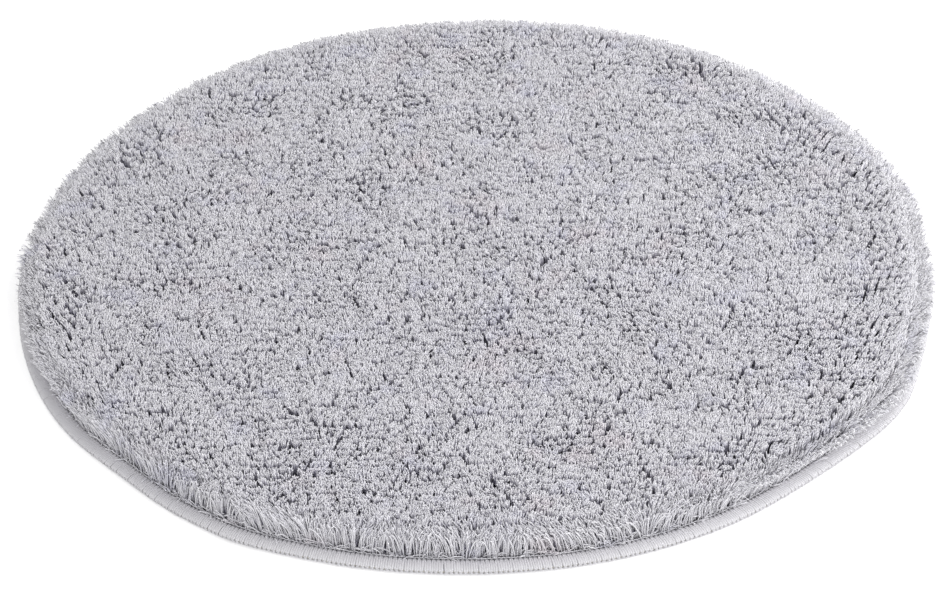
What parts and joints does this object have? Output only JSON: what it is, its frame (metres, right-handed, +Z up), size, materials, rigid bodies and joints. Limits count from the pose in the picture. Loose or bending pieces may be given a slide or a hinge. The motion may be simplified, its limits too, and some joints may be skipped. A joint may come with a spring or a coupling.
{
  "type": "round bath mat",
  "caption": "Round tufted bath mat with a deep cut pile, an overlocked edge and a latex coat that grips the floor.",
  "frame": {"origin": "centre of the underside, on the ground that the mat lies on", "axes": "+Z up out of the pile, +X along the rows of tufts, +Y across them"},
  "size_m": [0.5999, 0.6, 0.0252],
  "materials": {
    "cloth": "matte",
    "coat": "matte",
    "pile": "matte",
    "thread": "matte"
  },
  "bodies": {
    "root": {"base_cloth": "cloth", "latex_coat": "coat", "tuft_rows": "pile", "rim_tufts": "pile", "overlock_upper_thread": "thread", "overlock_lower_thread": "thread", "overlock_needle_thread": "thread"}
  },
  "joints": []
}
